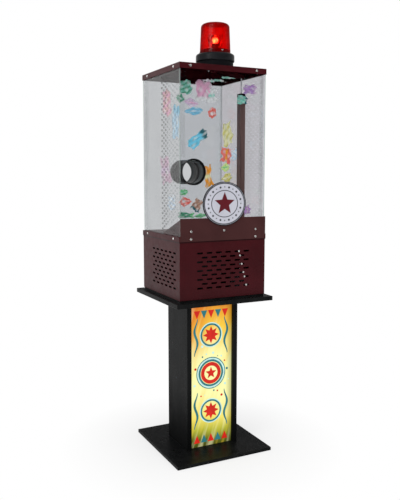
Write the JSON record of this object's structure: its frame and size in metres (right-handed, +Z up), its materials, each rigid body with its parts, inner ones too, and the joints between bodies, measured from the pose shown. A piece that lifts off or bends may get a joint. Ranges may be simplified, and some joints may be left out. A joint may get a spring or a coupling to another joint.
{
  "type": "paper-slip blower game machine",
  "caption": "Arcade blower game: a clear chamber with a hand port over a vented blower base, a turning beacon on the lid and a pedestal with a lit front panel.",
  "frame": {"origin": "on the floor, under the middle of the base plate", "axes": "+Z up; the front, with the hand port, faces -Y; +X is to the right seen from the front"},
  "size_m": [0.461, 0.461, 1.8565],
  "materials": {
    "black_board": "black satin lacquer on board",
    "lit_graphic": "backlit opal acrylic with a printed abstract design",
    "white_enamel": "white enamel",
    "lamp_glass": "opal lamp glass",
    "zinc_screw": "bright zinc plate",
    "maroon_sheet": "dark maroon powder coat, satin",
    "zinc_sheet": "galvanised sheet",
    "motor_enamel": "dark grey enamel",
    "blower_plastic": "moulded grey plastic",
    "steel_shaft": "ground steel",
    "black_plastic": "black moulded plastic",
    "clear_acrylic": "clear acrylic with a faint smoke tint",
    "foam_strip": "black foam strip",
    "sign_face": "white printed acrylic",
    "black_rubber": "black rubber",
    "red_lens": "red translucent lens",
    "bulb_glass": "clear lamp glass",
    "white_nylon": "white nylon",
    "reflector_mirror": "bright metallised reflector",
    "slip_paper": "coloured printed paper"
  },
  "bodies": {
    "cabinet": {"base_plate": "black_board", "column_left": "black_board", "column_right": "black_board", "column_back": "black_board", "graphic_panel": "lit_graphic", "lamp_batten": "white_enamel", "lamp_holders": "white_enamel", "lamp_tube": "lamp_glass", "top_plate": "black_board", "column_screws": "zinc_screw", "cabinet_floor": "zinc_sheet", "cabinet_bolts": "zinc_screw", "corner_posts": "zinc_sheet", "front_vent_panel": "maroon_sheet", "left_vent_panel": "maroon_sheet", "right_cover": "maroon_sheet", "rear_cover": "maroon_sheet", "vent_stiffener": "zinc_sheet", "deck_pan": "maroon_sheet", "air_grille": "zinc_sheet", "panel_screws": "zinc_screw", "panel_nuts": "zinc_screw", "blower_scroll": "motor_enamel", "blower_inlet_plate": "motor_enamel", "blower_motor_plate": "motor_enamel", "blower_brackets": "zinc_sheet", "blower_motor": "motor_enamel", "control_box": "blower_plastic", "power_inlet": "black_plastic", "front_panel": "clear_acrylic", "left_panel": "clear_acrylic", "right_panel": "clear_acrylic", "rear_panel": "clear_acrylic", "corner_strips": "clear_acrylic", "lid": "maroon_sheet", "front_skirt": "maroon_sheet", "skirt_gasket": "foam_strip", "front_ramp": "maroon_sheet", "port_sleeve": "black_plastic", "port_locknut": "black_plastic", "sign_disc": "sign_face", "sign_rim": "black_plastic", "wire_trunking": "maroon_sheet", "lid_duct": "maroon_sheet", "beacon_lead": "black_rubber", "beacon_foot": "black_rubber", "beacon_base": "black_plastic", "beacon_bolts": "zinc_screw", "beacon_dome": "red_lens", "dome_screws": "zinc_screw", "bulb_socket": "black_plastic", "beacon_bulb": "bulb_glass", "beacon_motor": "motor_enamel", "prize_slips": "slip_paper"},
    "blower_rotor": {"blower_wheel": "blower_plastic", "blower_shaft": "steel_shaft"},
    "beacon_rotor": {"reflector_gear": "white_nylon", "beacon_reflector": "reflector_mirror"},
    "beacon_drive": {"beacon_pinion": "white_nylon"},
    "power_switch": {"switch_rocker": "black_plastic"}
  },
  "joints": [
    {"name": "blower_spin", "type": "hinge", "parent": "cabinet", "child": "blower_rotor", "pos_m": [0, 0.035, 0.8215], "axis": [1, 0, 0], "continuous": true},
    {"name": "beacon_turn", "type": "hinge", "parent": "cabinet", "child": "beacon_rotor", "pos_m": [0, -0.118, 1.7513], "axis": [0, 0, 1], "continuous": true},
    {"name": "pinion_turn", "type": "hinge", "parent": "cabinet", "child": "beacon_drive", "pos_m": [0.03, -0.118, 1.7513], "axis": [0, 0, 1], "continuous": true},
    {"name": "rocker_tilt", "type": "hinge", "parent": "cabinet", "child": "power_switch", "pos_m": [0.135, 0.1985, 0.7685], "axis": [1, 0, 0], "range_deg": [-20, 0]}
  ],
  "couplings": [
    {"joint": "pinion_turn", "follows": "beacon_turn", "ratio": -2.3333}
  ]
}
